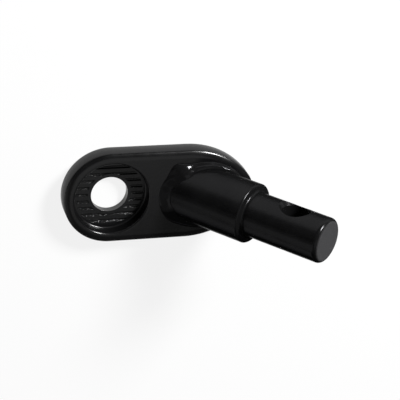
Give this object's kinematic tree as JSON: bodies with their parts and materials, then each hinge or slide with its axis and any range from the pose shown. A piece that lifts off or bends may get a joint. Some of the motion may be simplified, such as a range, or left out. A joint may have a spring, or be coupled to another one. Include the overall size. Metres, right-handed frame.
{
  "type": "bike trailer hitch",
  "caption": "Steel axle plate with a grooved nut seat and a welded leaning post: a collar, a stepped pin and a cross hole for a lock pin.",
  "frame": {"origin": "centre of the axle hole, on the plate's flat back face", "axes": "+Z along the axle hole, from the back face to the post's side; +X along the plate from the axle hole towards the post; +Y across the plate, along the cross hole"},
  "size_m": [0.0863, 0.0332, 0.051],
  "materials": {
    "painted_plate": "satin black paint over stamped steel",
    "painted_post": "satin black paint over turned steel",
    "painted_weld": "gloss black paint over a weld bead"
  },
  "bodies": {
    "root": {"axle_plate": "painted_plate", "hitch_post": "painted_post", "weld_bead": "painted_weld"}
  },
  "joints": []
}
